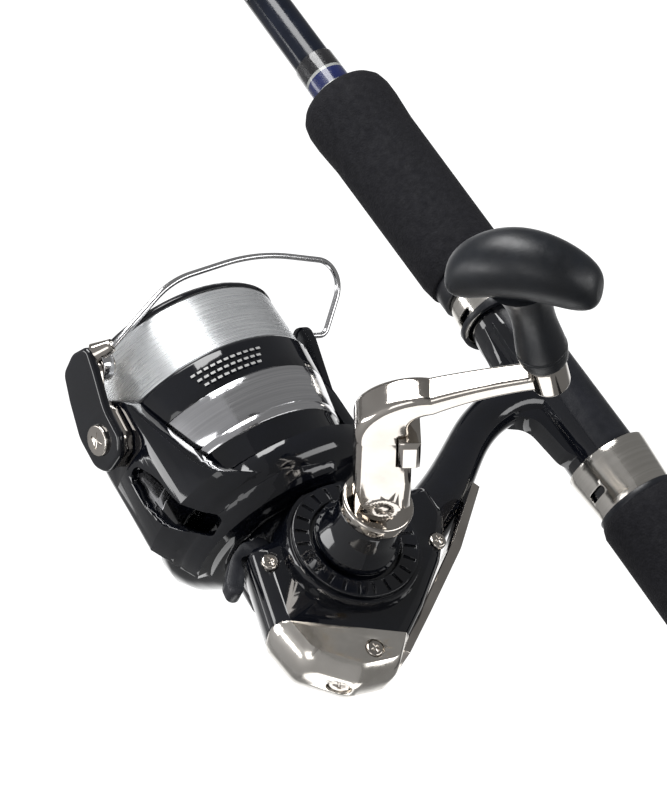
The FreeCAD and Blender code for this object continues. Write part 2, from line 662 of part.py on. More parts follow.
def build_gears():
    build_drive_gear()
    tooth_at = d.crank_back + d.gear_inner
    length = d.gear_outer - d.gear_inner
    gap_phase = 180.0 / PINION_TEETH
    teeth = spur_teeth(PINION_TEETH, d.pinion_root, d.pinion_outer, 0.95, 0.5, length + 0.4)
    core = rod_solid(Vector(-3.0, 0, 0), Vector(tooth_at + 2.8, 0, 0), d.pinion_root)
    journal = rod_solid(Vector(tooth_at + length + 0.2, 0, 0), Vector(d.hub_front + 5, 0, 0),
                        d.pinion_journal)
    pinion = core.fuse(journal)
    for tooth in teeth:
        tooth.translate(Vector(tooth_at - 0.2, 0, 0))
        tooth.rotate(Vector(), Vector(1, 0, 0), gap_phase)
        pinion = pinion.fuse(tooth)
    bore = rod_solid(Vector(-10, 0, 0), Vector(40, 0, 0), d.shaft_radius + d.shaft_clearance)
    shape_node("pinion", REEL, pinion.cut(bore))
    worm = rod_solid(Vector(-21.2, 0, 0), Vector(9.4, 0, 0), d.worm_radius)
    for turn in range(6):
        groove = Part.makeTorus(d.worm_radius, 0.35, Vector(-17.6 + turn * 2.4, 0, 0), Vector(1, 0, 0.35))
        worm = worm.cut(groove)
    direction = math.degrees(math.atan2(-d.worm_down, -d.worm_side))
    mate = worm_mesh_phase(direction)
    for tooth in spur_teeth(WORM_TEETH, d.worm_root, d.worm_outer, 1.0, 0.5, 1.8):
        tooth.translate(Vector(tooth_at + 0.2, 0, 0))
        tooth.rotate(Vector(), Vector(1, 0, 0), mate)
        worm = worm.fuse(tooth)
    worm = worm.fuse(rod_solid(Vector(tooth_at + 0.2, 0, 0), Vector(tooth_at + 2.0, 0, 0), d.worm_root))
    place = REEL * FreeCAD.Placement(Vector(0, d.worm_side, d.worm_down), FreeCAD.Rotation())
    shape_node("worm_shaft", place, worm)


def worm_mesh_phase(direction):
    """Turn of the worm's gear that puts one of its gaps on the pinion tooth that points at it."""
    pinion_step = 360.0 / PINION_TEETH
    worm_step = 360.0 / WORM_TEETH
    toward_worm = direction + 180.0
    offset = (toward_worm - 180.0 / PINION_TEETH) % pinion_step
    return direction + worm_step / 2 + offset * PINION_TEETH / WORM_TEETH


def build_drive_gear():
    disc = rod_solid(Vector(0, d.tooth_floor, 0), Vector(0, d.gear_back, 0), d.gear_outer)
    shaft = rod_solid(Vector(0, d.tooth_floor, 0), Vector(0, 24.0, 0), d.crank_shaft)
    hub = rod_solid(Vector(0, d.gear_back, 0), Vector(0, 8.4, 0), 4.6)
    gear = disc.fuse([shaft, hub])
    teeth = []
    for number in range(GEAR_TEETH):
        low, high = 0.42, 0.24
        corners = [Vector(d.gear_inner, d.tooth_floor + 0.2, -low),
                   Vector(d.gear_inner, d.tooth_top, -high),
                   Vector(d.gear_inner, d.tooth_top, high), Vector(d.gear_inner, d.tooth_floor + 0.2, low)]
        outline = Part.Face(Part.makePolygon(corners + corners[:1]))
        tooth = outline.extrude(Vector(d.gear_outer - d.gear_inner - 0.1, 0, 0))
        tooth.rotate(Vector(), Vector(0, 1, 0), number * 360.0 / GEAR_TEETH)
        teeth.append(tooth)
    gear = gear.fuse(teeth)
    flat = Part.makeBox(20, 30, 20, Vector(d.crank_shaft - 0.7, 20.0, -10))
    shape_node("drive_gear", CRANK, gear.cut(flat))


def build_carriage():
    turned("main_shaft", REEL, [
        ("-14.0", "0"), ("64.6", "0"), ("64.6", "shaft_radius - 0.2"), ("60", "shaft_radius"),
        ("-14.0", "shaft_radius"),
    ])
    block = Part.makeBox(4.0, 9.4, 10.0, Vector(-13.2, -7.2, -7.4))
    worm = Vector(0, d.worm_side, d.worm_down)
    block = block.cut(rod_solid(worm + Vector(-40, 0, 0), worm + Vector(40, 0, 0), d.worm_radius + 0.35))
    block = block.cut(rod_solid(Vector(-14.01, 0, 0), Vector(5, 0, 0), d.shaft_radius + 0.005))
    shape_node("crosshead", REEL, block)


# ---------------------------------------------------------------- rotor
ARM_OUTLINE = [(10.0, 25.0), (13.0, 22.6), (15.7, 19.6), (20.0, 16.2), (24.2, 14.0), (33.5, 11.4),
               (39.3, 9.8),
               (45.4, 8.2), (49.4, 4.0), (49.4, -3.6), (46.2, -7.0), (38.7, -8.8), (30.7, -8.8),
               (20.0, -9.4), (10.0, -9.6)]
ARM_ROUND = [0, 8, 12, 16, 20, 30, 20, 5, 4, 4, 5, 20, 20, 20, 0]
WINDOW = [(12.2, 4.4), (19.3, -0.2), (27.0, -2.0), (32.8, -1.6), (34.2, 2.0), (28.1, 5.2), (21.8, 6.2),
          (16.3, 8.0),
          (13.2, 9.6)]
WINDOW_ROUND = [1.2, 14, 10, 2.4, 2.4, 12, 20, 14, 1.2]
CUP_OUTSIDE = [(9.9, 15.7), (9.9, 17.4), (11.4, 20.4), (13.6, 23.6), (16.0, 25.4), (19.4, 25.9)]


def build_rotor():
    """A cup round a hub, with an arm on each side that has a window through it."""
    floor = Vector(d.rotor_floor, 0, 0)
    profile = [Vector(x, 0, r) for x, r in CUP_OUTSIDE]
    profile += [Vector(d.rotor_rim, 0, 0), Vector(CUP_OUTSIDE[0][0], 0, 0)]
    base = Part.Face(Part.makePolygon(profile + profile[:1])).revolve(Vector(), Vector(1, 0, 0), 360)
    base = base.cut(cone_solid(floor, Vector(d.rotor_rim, 0, 0), 22.9, d.rotor_inner))
    hub = rod_solid(floor - Vector(1, 0, 0), Vector(d.hub_front, 0, 0), d.hub_outer)
    hollow = rod_solid(Vector(5, 0, 0), Vector(18.2, 0, 0), d.hub_inner)
    bore = rod_solid(Vector(0, 0, 0), Vector(40, 0, 0), d.pinion_journal + 0.01)
    wall_start = Vector(CUP_OUTSIDE[0][0] + 1, 0, 0)
    wall_end = Vector(50, 0, 0)
    shoulder = cone_solid(wall_start, wall_start + Vector(9, 0, 0), 22.0, d.arm_outer)
    wall = shoulder.fuse(rod_solid(wall_start + Vector(9, 0, 0), wall_end, d.arm_outer))
    wall = wall.cut(rod_solid(Vector(d.rotor_floor, 0, 0), wall_end, d.arm_inner))
    prism = plate(ARM_OUTLINE, ARM_ROUND, -40, 40)
    flat = Part.makeBox(40, 40, 10, Vector(35.0, -20, -d.arm_flat - 10))
    window = plate(WINDOW, WINDOW_ROUND, -60, 60 - 17.3)
    pin = rod_solid(Vector(d.pivot_front, 0, -20), Vector(d.pivot_front, 0, -40), 1.3)
    pocket = rod_solid(Vector(d.pivot_front, 0, -26.2), Vector(d.pivot_front, 0, -30), 4.2)
    arm = wall.common(prism).cut(flat)
    far_arm, far_window, far_pin = arm.copy(), window.copy(), pin.copy()
    for piece in (far_arm, far_window, far_pin):
        piece.rotate(Vector(), Vector(1, 0, 0), 180)
    rotor = base.fuse([hub, arm, far_arm]).cut(hollow).cut(bore)
    for opening in (window, far_window, pin, far_pin, pocket):
        rotor = rotor.cut(opening)
    shape_node("rotor", ROTOR, rotor)
    hexagon = Part.makePolygon([Vector(d.hub_front, 5.2 * math.cos(math.radians(60 * k)),
                                       5.2 * math.sin(math.radians(60 * k))) for k in range(7)])
    nut = Part.Face(hexagon).extrude(Vector(4, 0, 0))
    shape_node("rotor_nut", ROTOR, nut.cut(rod_solid(Vector(0, 0, 0), Vector(60, 0, 0),
                                                     d.pinion_journal + 0.01)))
    shape_node("bail_spring", ROTOR, Part.makeTorus(3.2, 0.35, Vector(d.pivot_front, 0, -26.7),
                                                    Vector(0, 0, 1)))


# ---------------------------------------------------------------- spool
def build_spool():
    turned("spool", REEL, [
        ("44.4", "shaft_radius + 0.05"), ("58.0", "shaft_radius + 0.05"), ("58.0", "arbor_inner - 0.8"),
        ("spool_front", "arbor_inner - 0.8"), ("spool_front", "spool_lip - 0.7"),
        ("lip_start + 0.7", "spool_lip"),
        ("lip_start", "spool_lip - 0.2"), ("lip_start", "arbor_radius"),
        ("band_front + 0.9", "arbor_radius"),
        ("band_front + 0.9", "line_radius + 0.2"), ("band_front", "band_radius - 0.1"),
        ("band_back", "skirt_top"),
        ("band_back", "skirt_top - 1.6"), ("43.0", "skirt_top - 1.6"), ("43.0", "arbor_inner"),
        ("46.5", "arbor_inner"), ("46.5", "5"), ("44.4", "5"),
    ])
    turned("spool_skirt", REEL, [
        ("spool_ring_front", "skirt_bottom - 1.2"), ("band_back", "skirt_top - 1.6"),
        ("band_back", "skirt_top"),
        ("spool_ring_front + 2.2", "skirt_bottom + 0.42"), ("spool_ring_front + 1.9", "skirt_bottom + 0.2"),
        ("spool_ring_front + 1.6", "skirt_bottom + 0.3"), ("spool_ring_front", "skirt_bottom"),
    ])
    turned("spool_ring", REEL, [
        ("spool_back", "ring_bottom - 1.4"), ("spool_ring_front", "skirt_bottom - 1.2"),
        ("spool_ring_front", "skirt_bottom - 0.1"), ("spool_ring_front - 0.8", "ring_bottom"),
        ("spool_back + 0.8", "ring_bottom"), ("spool_back", "ring_bottom - 0.6"),
    ])
    turned("wound_line", REEL, [
        ("band_front + 0.9", "arbor_radius"), ("lip_start", "arbor_radius"),
        ("lip_start", "line_radius - 0.3"),
        ("lip_start - 4", "line_radius"), ("band_front + 4", "line_radius"),
        ("band_front + 0.9", "line_radius - 0.1"),
    ])
    clip = Part.makeBox(3.6, 2.0, 1.4, Vector(39.0, -1.0, 23.7))
    clip.rotate(Vector(), Vector(1, 0, 0), 150)
    shape_node("line_clip", REEL, clip.cut(cone_solid(Vector(d.band_back, 0, 0), Vector(d.band_front, 0, 0),
                                                     d.skirt_top, d.band_radius - 0.1)))
    washers = [tube_solid(Vector(x, 0, 0), Vector(x + 0.9, 0, 0), 1.9, 11.8) for x in (58.05, 59.0, 59.95)]
    shape_node("drag_washers", REEL, Part.makeCompound(washers))
    knob = rod_solid(Vector(61.2, 0, 0), Vector(65.4, 0, 0), 12.0)
    knob = knob.makeFillet(1.2, [e for e in knob.Edges if e.Closed and e.CenterOfMass.x > 65])
    knob = knob.cut(rod_solid(Vector(60, 0, 0), Vector(64.9, 0, 0), 1.56))
    ridge = Part.makeBox(1.6, 18.0, 3.0, Vector(64.2, -9.0, -1.5))
    for number in range(12):
        scallop = rod_solid(Vector(61, 0, 0), Vector(66, 0, 0), 1.0)
        scallop.translate(Vector(0, 12.5, 0))
        scallop.rotate(Vector(), Vector(1, 0, 0), 15 + 30 * number)
        knob = knob.cut(scallop)
    shape_node("drag_knob", REEL, knob.fuse(ridge.cut(rod_solid(Vector(60, 0, 0), Vector(64.9, 0, 0),
                                                                1.56))))


# ---------------------------------------------------------------- bail
WIRE_ROUTE = [(-26.6, 18.8), (-10.5, 31.0), (14.0, 34.8), (36.0, 31.0), (39.0, 25.2), (33.6, 14.2),
              (28.75, 14.6)]
WIRE_BENDS = [0, 22, 60, 7, 6, 2.4, 0]
LEVER = [(-6.4, 3.0), (-6.2, -3.6), (-2.6, -6.0), (4.6, -5.6), (12.0, -2.2), (17.4, 1.0), (18.0, 6.6),
         (15.6, 12.0),
         (10.4, 10.0), (3.0, 6.6), (-3.6, 6.0)]
LEVER_ROUND = [3, 4, 4, 8, 12, 3, 4, 2, 4, 12, 3]
LEVER_PLATE = [(-6.0, 3.0), (-5.8, -3.4), (-2.4, -5.6), (4.4, -5.2), (8.6, -2.6), (8.8, 3.6), (3.0, 6.2),
               (-3.4, 5.6)]


def build_bail():
    """The bail swings on one line through both rotor arms; its wire leans over the spool's front."""
    reach = d.roller_ahead
    side = d.roller_side
    cover = plate(LEVER, LEVER_ROUND, -d.cover_outer, d.cover_outer - d.lever_outer)
    cover = cover.makeFillet(0.8, [e for e in cover.Edges if abs(e.CenterOfMass.z + d.cover_outer) < 1e-6])
    cover = cover.cut(rod_solid(Vector(0, 0, -20), Vector(0, 0, -40), 0.8))
    slim = plate(LEVER_PLATE, [2.8, 3.2, 3.2, 3, 2, 3, 3, 2.6], -d.lever_outer + 0.02,
                 d.lever_outer - d.lever_inner - 0.02)
    pin = rod_solid(Vector(0, 0, -25.6), Vector(0, 0, -d.lever_inner - 1), 1.25)
    bridge = plate([(5.0, -3.6), (12.0, -1.4), (16.4, 4.0), (15.4, 9.6), (11.0, 10.6), (5.0, 5.6)],
                   [2, 5, 4, 3, 3, 2],
                   -d.lever_outer + 0.02, 0.7)
    post = rod_solid(Vector(reach, side, -25.5), Vector(reach, side, -d.lever_inner - 2), 1.5)
    cap = rod_solid(Vector(reach, side, -26.1), Vector(reach, side, -25.5), 2.6)
    lean = math.radians(BAIL_LEAN)
    along = Vector(math.cos(lean), math.sin(lean), 0)
    tip = along * WIRE_ROUTE[0][1] + Vector(0, 0, WIRE_ROUTE[0][0])
    cone = cone_solid(Vector(reach, side, -28.6) + along * 2.6, tip + along * 0.5, 2.4, 1.4)
    shape_node("arm_cover", PIVOT, cover.cut(cone))
    room = tube_solid(Vector(reach, side, -29.0), Vector(reach, side, -26.1), 1.5, d.roller_radius + 0.3)
    route = [Vector(ahead, 0, up) for up, ahead in WIRE_ROUTE]
    path = rounded_wire(route, WIRE_BENDS, closed=False)
    ring = Part.Wire([Part.Circle(route[0], route[1] - route[0], d.wire_radius).toShape()])
    wire = path.makePipeShell([ring], True, True)
    placed_wire = wire.copy()
    placed_wire.rotate(Vector(), Vector(0, 0, 1), BAIL_LEAN)
    shape_node("bail_arm", PIVOT, slim.fuse([pin, bridge, post, cap, cone]).cut(room).cut(placed_wire))
    roller = PIVOT * FreeCAD.Placement(Vector(reach, side, 0), FreeCAD.Rotation())
    sleeve("line_roller", roller, "-28.9", "-26.3", "1.55", "roller_radius", "Z")
    holder = plate([(-5.8, -5.2), (4.8, -5.4), (11.0, 2.4), (14.0, 8.6), (12.4, 11.6), (8.8, 11.0),
                    (-5.8, 5.2)],
                   [5, 5, 8, 2.4, 2.4, 3, 5], d.lever_inner, d.lever_outer - d.lever_inner)
    holder = holder.makeFillet(0.8, [e for e in holder.Edges
                                     if abs(e.CenterOfMass.z - d.lever_outer) < 1e-6])
    far_pin = rod_solid(Vector(0, 0, 25.6), Vector(0, 0, d.lever_outer - 0.5), 1.25)
    shape_node("bail_holder", PIVOT, holder.fuse(far_pin).cut(placed_wire))
    screws = []
    for side_sign, face in ((-1, d.cover_outer), (1, d.lever_outer)):
        head = screw_head(Vector(0, 0, side_sign * face), Vector(0, 0, side_sign), 3.3, 0.7)
        low = min(side_sign * face, side_sign * (face + 1.0))
        screws.append(head.common(Part.makeBox(20, 20, 1.0, Vector(-10, -10, low))))
    shape_node("bail_screws", PIVOT, Part.makeCompound(screws))
    shape_node("bail_wire", BAIL, wire)


# ---------------------------------------------------------------- crank handle
def build_handle():
    turned("crank_collar", CRANK, [
        ("ring_height + 0.4", "crank_shaft + 0.02"), ("24.2", "crank_shaft + 0.02"), ("24.2", "1.6"),
        ("31.4", "1.6"), ("31.4", "6.6"),
        ("26", "7.4"), ("ring_height + 1.6", "8.9"), ("ring_height + 0.4", "8.9"),
    ], "Y")
    ring = rod_solid(Vector(0, 31.5, 0), Vector(0, 34.6, 0), 7.3)
    ring = ring.makeFillet(0.7, [e for e in ring.Edges if e.Closed])
    for number in range(6):
        notch = rod_solid(Vector(6.9, 33.0, 0), Vector(9, 33.0, 0), 0.7)
        notch.rotate(Vector(), Vector(0, 1, 0), number * 60.0 + 20)
        ring = ring.cut(notch)
    shape_node("hub_ring", CRANK, ring)
    upright = FreeCAD.Placement(HANDLE.Base, FreeCAD.Rotation(Vector(0, 1, 0), -ARM_AZIMUTH)
                                * FreeCAD.Rotation(Vector(1, 0, 0), -90))
    lean = math.radians(COLUMN_TILT)
    centre = Vector(-d.hinge_rise * math.sin(lean), 0, d.hinge_rise * math.cos(lean))
    across = Vector(0, 2.3, 0)
    ear = rod_solid(centre - across, centre + across, 3.2)
    ear = ear.fuse(Part.makeBox(7.2, 4.6, centre.z + 1.05, Vector(-3.6 + centre.x / 2, -2.3, -1.05)))
    shape_node("hinge_ear", upright, ear.cut(rod_solid(centre - across * 2, centre + across * 2, 1.25)))
    build_arm()


def rectangle_ring(centre, half_x, half_y, radius, tilt):
    """A rounded rectangle square to a line that leans by tilt from z towards x."""
    along = Vector(math.cos(math.radians(tilt)), 0, -math.sin(math.radians(tilt)))
    across = Vector(0, 1, 0)
    corners = [centre + along * (sx * half_x) + across * (sy * half_y)
               for sx, sy in ((-1, -1), (1, -1), (1, 1), (-1, 1))]
    return rounded_wire(corners, [radius] * 4)


def build_arm():
    """The folding arm: a faceted column, an elbow and a tapering arm ending in the knob's boss."""
    top = d.column_length
    neck = rectangle_ring(Vector(0, 0, top - 7.0), 5.2, 4.3, 1.6, 0)
    start = rectangle_ring(Vector(8.6, 0, top + 1.9), 2.3, 3.0, 1.1, 80)
    column = loft([rectangle_ring(Vector(0, 0, 3.6), 5.6, 5.2, 1.6, 0), neck])
    fold_relief = slab([(-3.6, -3), (-3.6, 3.0), (-5.1, 9.0), (-5.7, 11.5), (-9, 11.5), (-9, -3)], [0] * 6,
                       -7, 14)
    elbow = loft([neck, rectangle_ring(Vector(0.6, 0, top - 2.6), 4.6, 3.9, 1.5, 25),
                  rectangle_ring(Vector(3.6, 0, top + 0.6), 3.2, 3.4, 1.3, 60), start])
    slope = math.radians(ARM_SLOPE)
    arm = loft([start, rectangle_ring(ARM_END * 0.6 + Vector(0, 0, top * 0.4 + 0.7), 1.8, 2.5, 0.9,
                                      90 - ARM_SLOPE * 0.9),
                rectangle_ring(ARM_END + Vector(-0.5, 0, 0.2), 1.7, 2.2, 0.8, 90 - ARM_SLOPE)])
    up = Vector(-math.sin(slope), 0, math.cos(slope))
    boss = rod_solid(ARM_END - up * 2.4, ARM_END + up * 5.0, 3.6)
    boss = boss.makeFillet(1.0, [e for e in boss.Edges if e.Closed])
    hinge_line = Vector(0, 0, d.hinge_rise)
    cheeks = [rod_solid(hinge_line + Vector(0, side * 2.6, 0), hinge_line + Vector(0, side * 5.2, 0), 3.55)
              for side in (-1, 1)]
    fork = column.cut(fold_relief).fuse([elbow, arm, boss] + cheeks)
    fork = fork.cut(Part.makeBox(16, 5.2, 9.4, Vector(-8, -2.6, -2.4)))
    fork = fork.cut(rod_solid(hinge_line - Vector(0, 9, 0), hinge_line + Vector(0, 9, 0), 1.25))
    fork = fork.cut(Part.makeBox(5.0, 9.9, 8.6, Vector(2.3, -6.0, top - 13.4)))
    fork = fork.cut(rod_solid(ARM_END - up * 9, ARM_END + up * 9, 2.0))
    shape_node("handle_arm", HANDLE, fork)
    pin = rod_solid(hinge_line - Vector(0, 5.1, 0), hinge_line + Vector(0, 5.1, 0), 1.2)
    shape_node("hinge_pin", HANDLE, pin)
    button = Part.makeBox(4.1, 7.9, 7.4, Vector(2.7, -5.9, top - 12.8))
    button = button.makeChamfer(0.8, [e for e in button.Edges if e.CenterOfMass.y < -5.8])
    shape_node("fold_button", HANDLE, button)
    cap = rod_solid(Vector(0, 0, -3.0), Vector(0, 0, -2.4), 2.5)
    spindle = rod_solid(Vector(0, 0, -2.4), Vector(0, 0, 22.0), 1.98)
    shape_node("knob_spindle", KNOB, cap.fuse(spindle))
    build_knob()


def build_knob():
    """The T-shaped knob: a waisted post under a rounded cross bar."""
    rise = d.knob_rise
    half = d.knob_length / 2
    post = loft([ellipse_ring(Vector(0, 0, z), r, r * 0.97, Vector(0, 0, 1), Vector(1, 0, 0))
                 for z, r in ((5.3, 4.3), (9.0, 4.5), (15.0, 3.9), (20.0, 4.0), (24.0, 4.9), (27.0, 6.4))])
    rings = []
    for at, drop, high, wide in ((-1.0, 4.6, 1.6, 2.0), (-0.95, 4.2, 3.2, 3.4), (-0.8, 3.2, 4.7, 4.6),
                                 (-0.45, 1.0, 5.6, 5.6), (0, 0, 6.0, 6.0), (0.45, 1.0, 5.6, 5.6),
                                 (0.8, 3.2, 4.7, 4.6), (0.95, 4.2, 3.2, 3.4), (1.0, 4.6, 1.6, 2.0)):
        rings.append(ellipse_ring(Vector(at * half, 0, rise - drop), high, wide, Vector(1, 0, 0),
                                  Vector(0, 0, 1)))
    bar = loft(rings)
    knob = post.fuse(bar)
    knob = knob.cut(rod_solid(Vector(0, 0, 0), Vector(0, 0, 22.4), 2.05))
    turn = FreeCAD.Rotation(Vector(0, 0, 1), KNOB_TURN)
    shape_node("handle_knob", KNOB * FreeCAD.Placement(Vector(), turn), knob)


def write_parts():
    doc.recompute()
    for piece in doc.Objects:
        if "Invalid" in piece.State or "Error" in piece.State:
            raise RuntimeError(f"{piece.Label} failed: {piece.State}")
    for piece in NODES:
        if piece.Shape.isNull() or not piece.Shape.isValid():
            raise RuntimeError(f"{piece.Label} has no valid shape")
    os.makedirs("parts", exist_ok=True)
    for piece in NODES:
        piece.Shape.exportStep(f"parts/{piece.Label}.step")


build_rod()
build_reel()
build_gears()
build_carriage()
build_rotor()
build_spool()
build_bail()
build_handle()
write_parts()
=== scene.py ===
"""Looks of the closed telescopic rod with its spinning reel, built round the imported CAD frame."""

import json
import math

import bmesh
import bpy
from mathutils import Matrix, Vector


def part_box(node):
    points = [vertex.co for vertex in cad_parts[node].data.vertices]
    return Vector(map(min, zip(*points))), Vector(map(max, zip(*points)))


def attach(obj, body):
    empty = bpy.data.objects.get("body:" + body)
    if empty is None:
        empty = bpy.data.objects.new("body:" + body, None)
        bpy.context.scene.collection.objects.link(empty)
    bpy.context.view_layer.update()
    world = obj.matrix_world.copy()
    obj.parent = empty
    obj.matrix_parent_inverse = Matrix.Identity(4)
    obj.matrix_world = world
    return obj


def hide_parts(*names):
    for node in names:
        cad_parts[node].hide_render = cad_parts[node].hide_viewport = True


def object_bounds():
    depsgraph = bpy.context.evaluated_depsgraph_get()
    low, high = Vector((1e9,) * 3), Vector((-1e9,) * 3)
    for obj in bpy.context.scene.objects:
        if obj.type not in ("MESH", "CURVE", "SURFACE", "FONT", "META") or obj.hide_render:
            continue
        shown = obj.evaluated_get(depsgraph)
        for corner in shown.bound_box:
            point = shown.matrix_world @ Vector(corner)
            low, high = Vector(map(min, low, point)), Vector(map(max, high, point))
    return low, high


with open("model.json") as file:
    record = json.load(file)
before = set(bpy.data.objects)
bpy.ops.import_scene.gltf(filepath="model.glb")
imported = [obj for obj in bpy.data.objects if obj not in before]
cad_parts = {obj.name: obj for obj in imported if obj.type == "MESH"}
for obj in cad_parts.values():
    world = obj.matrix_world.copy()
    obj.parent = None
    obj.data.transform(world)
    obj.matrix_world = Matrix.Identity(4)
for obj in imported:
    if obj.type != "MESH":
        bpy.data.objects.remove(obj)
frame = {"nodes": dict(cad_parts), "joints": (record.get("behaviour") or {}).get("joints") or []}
cad_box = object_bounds()
nodes = frame["nodes"]

MM = 0.001

CAMERA_LENS = 83.39
CAMERA_SENSOR = 36.0
CAMERA_NEAREST = 0.01
CAMERA_PLACE = Vector((0.0427, 0.3087, -0.2738))
CAMERA_RIGHT = Vector((-0.5146, 0.3016, 0.8026))
CAMERA_UP = Vector((0.7624, 0.5893, 0.2674))
CAMERA_BACK = Vector((-0.3924, 0.7495, -0.5332))


# ---------------------------------------------------------------- places read from the frame
def middle(node):
    low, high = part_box(node)
    return (low + high) / 2


spool_line = middle("spool_skirt")
wrap_low, wrap_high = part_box("trim_wrap")


# ---------------------------------------------------------------- materials
NOISE_LOW = 0.3
NOISE_HIGH = 0.7


class Finish:
    """A Principled material whose colour, roughness and relief vary with the place on the object."""

    def __init__(self, name, metallic=0.0, **sockets):
        self.material = bpy.data.materials.new(name)
        self.material.use_nodes = True
        self.tree = self.material.node_tree
        self.shader = self.tree.nodes["Principled BSDF"]
        self.shader.inputs["Metallic"].default_value = metallic
        for socket, value in sockets.items():
            self.shader.inputs[socket.replace("_", " ")].default_value = value
        self.place = self.tree.nodes.new("ShaderNodeTexCoord").outputs["Object"]

    def node(self, kind, **inputs):
        """Adds a node. An input is linked if it is given a socket, and set if it is given a number."""
        made = self.tree.nodes.new(kind)
        for socket, value in inputs.items():
            target = made.inputs[socket.replace("_", " ")]
            if isinstance(value, bpy.types.NodeSocket):
                self.tree.links.new(value, target)
            else:
                target.default_value = value
        return made

    def stretched(self, along):
        """The place with each axis scaled, so that a pattern draws out along the axes of small scale."""
        return self.node("ShaderNodeMapping", Vector=self.place, Scale=along).outputs["Vector"]

    def noise(self, scale, detail=3.0, place=None):
        made = self.node("ShaderNodeTexNoise", Vector=place or self.place, Scale=scale, Detail=detail)
        return made.outputs["Fac"]

    def pores(self, scale):
        made = self.node("ShaderNodeTexVoronoi", Vector=self.place, Scale=scale)
        return made.outputs["Distance"]

    def lines(self, pitch):
        """Fine grooves round the rod, a pitch apart. At scale 1 the wave repeats every 2 pi / 20 m."""
        made = self.node("ShaderNodeTexWave", Vector=self.place, Scale=2 * math.pi / (20 * pitch))
        made.bands_direction = "X"
        return made.outputs["Fac"]

    def spread(self, value, low, high):
        """Remaps the usual middle of a noise to a range."""
        made = self.node("ShaderNodeMapRange", Value=value)
        made.inputs["From Min"].default_value = NOISE_LOW
        made.inputs["From Max"].default_value = NOISE_HIGH
        made.inputs["To Min"].default_value = low
        made.inputs["To Max"].default_value = high
        return made.outputs["Result"]

    def colour(self, value, dark, light):
        """Blends the surface's colour from dark to light as the value rises."""
        made = self.tree.nodes.new("ShaderNodeValToRGB")
        made.color_ramp.elements[0].position = NOISE_LOW
        made.color_ramp.elements[1].position = NOISE_HIGH
        made.color_ramp.elements[0].color = (*dark, 1)
        made.color_ramp.elements[1].color = (*light, 1)
        self.tree.links.new(value, made.inputs["Fac"])
        self.tree.links.new(made.outputs["Color"], self.shader.inputs["Base Color"])

    def roughness(self, value, low, high):
        """Lets the roughness wander between low and high."""
        self.tree.links.new(self.spread(value, low, high), self.shader.inputs["Roughness"])

    def relief(self, height, depth, strength):
        """Bumps the surface by up to depth metres."""
        made = self.node("ShaderNodeBump", Height=height, Distance=depth, Strength=strength)
        self.tree.links.new(made.outputs["Normal"], self.shader.inputs["Normal"])


def gloss_finish(name, dark, light):
    """Deep polished lacquer with faint haze."""
    finish = Finish(name, Coat_Weight=0.4, Coat_Roughness=0.02, IOR=1.5)
    finish.colour(finish.noise(90), dark, light)
    finish.roughness(finish.noise(260), 0.05, 0.11)
    finish.relief(finish.noise(420, 1.0), 0.00002, 0.25)
    return finish.material


def satin_finish(name, dark, light, rough=(0.3, 0.42), grain=1800):
    """Moulded or lacquered surface with a fine even grain."""
    finish = Finish(name, IOR=1.48)
    finish.colour(finish.noise(140), dark, light)
    finish.roughness(finish.noise(600), *rough)
    finish.relief(finish.noise(grain, 2.0), 0.00003, 0.5)
    return finish.material


def plated_finish(name, dark, light, rough=(0.04, 0.1)):
    """Bright plating that is a little uneven."""
    finish = Finish(name, metallic=1.0)
    finish.colour(finish.noise(120), dark, light)
    finish.roughness(finish.noise(700), *rough)
    finish.relief(finish.noise(300, 1.0), 0.00002, 0.3)
    return finish.material


def brushed_finish(name, dark, light, along, rough=(0.18, 0.32)):
    """Metal brushed or turned so that its scratches run along the axes of small scale."""
    finish = Finish(name, metallic=1.0)
    scratches = finish.noise(1.0, 4.0, finish.stretched(along))
    finish.colour(scratches, dark, light)
    finish.roughness(scratches, *rough)
    finish.relief(scratches, 0.00002, 0.45)
    return finish.material


def foam_finish():
    """Closed-cell grip foam, sanded round: matt, with open pores."""
    finish = Finish("foam", IOR=1.35)
    cells = finish.pores(1900)
    finish.colour(finish.noise(900, 4.0), (0.004, 0.004, 0.006), (0.009, 0.009, 0.012))
    finish.roughness(finish.noise(500), 0.78, 0.95)
    finish.relief(cells, 0.00022, 0.6)
    return finish.material


def rubber_finish():
    """Dark moulded rubber with a coarse grain."""
    finish = Finish("rubber", IOR=1.5)
    finish.colour(finish.noise(300), (0.012, 0.012, 0.013), (0.026, 0.026, 0.028))
    finish.roughness(finish.noise(400), 0.5, 0.7)
    finish.relief(finish.noise(1400), 0.00006, 0.6)
    return finish.material


def line_finish():
    """Packed clear nylon: silvery, with the laid turns just showing."""
    finish = Finish("wound_nylon", metallic=0.75, IOR=1.53, Coat_Weight=0.25, Coat_Roughness=0.2)
    strands = finish.noise(1.0, 3.0, finish.stretched((6500, 110, 110)))
    finish.colour(strands, (0.60, 0.62, 0.64), (0.80, 0.81, 0.82))
    finish.roughness(strands, 0.24, 0.34)
    finish.relief(strands, 0.00002, 0.35)
    return finish.material


THREAD_PITCH = 0.25 * MM


